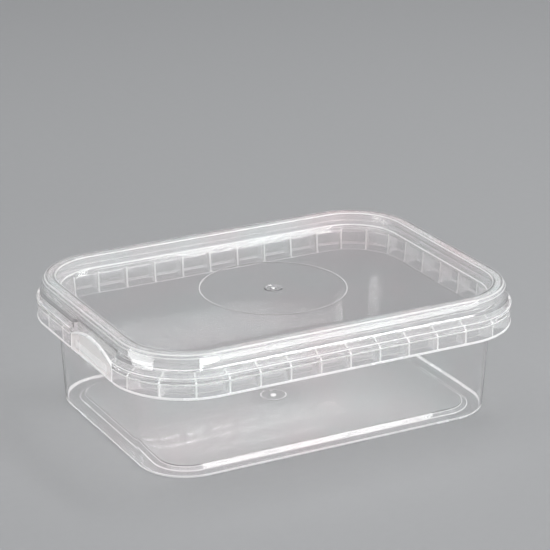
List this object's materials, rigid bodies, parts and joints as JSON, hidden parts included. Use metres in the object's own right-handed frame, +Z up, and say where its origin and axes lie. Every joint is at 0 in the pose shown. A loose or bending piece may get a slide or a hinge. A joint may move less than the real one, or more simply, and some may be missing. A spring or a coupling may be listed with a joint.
{
  "type": "tamper-evident food container",
  "caption": "Clear plastic food tub with a press-on lid, a ribbed collar that guards the lid's edge and a tear tab at one end.",
  "frame": {"origin": "on the table, under the middle of the foot", "axes": "+X along the long side, +Z up, -Y towards the front long side; the tear tab is on the -X end"},
  "size_m": [0.186, 0.138, 0.058],
  "materials": {
    "clear_tub": "gloss",
    "clear_lid": "gloss"
  },
  "bodies": {
    "root": {"tub": "clear_tub", "lid": "clear_lid"}
  },
  "joints": []
}
